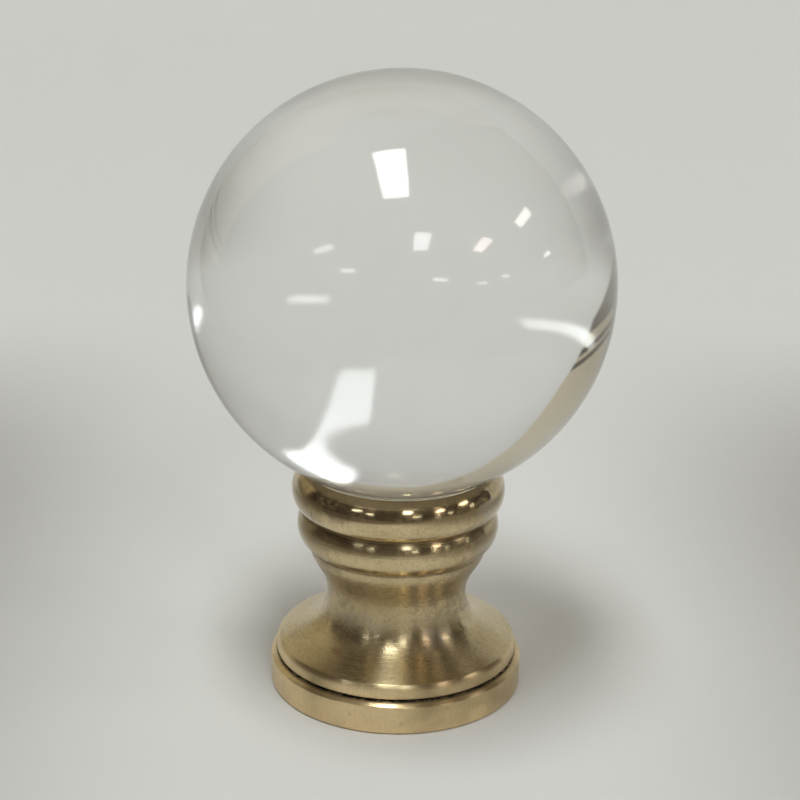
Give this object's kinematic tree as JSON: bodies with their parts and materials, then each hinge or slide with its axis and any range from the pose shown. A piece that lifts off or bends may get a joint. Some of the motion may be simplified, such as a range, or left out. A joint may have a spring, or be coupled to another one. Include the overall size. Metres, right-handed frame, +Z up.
{
  "type": "lamp shade finial",
  "caption": "Decorative lamp finial: clear glass ball in the cup of a turned brass base with beads, waisted neck and flared foot, screwed on a harp stud from below.",
  "frame": {"origin": "centre of the flat underside of the brass base", "axes": "+Z up along the axis that the base is turned about, towards the glass ball; the finial looks the same all round it"},
  "size_m": [0.038, 0.038, 0.0574],
  "materials": {
    "turned_brass": "polished beads, satin lathe-turned foot, slightly tarnished",
    "clear_glass": "clear polished glass"
  },
  "bodies": {
    "root": {"brass_base": "turned_brass", "glass_ball": "clear_glass"}
  },
  "joints": []
}
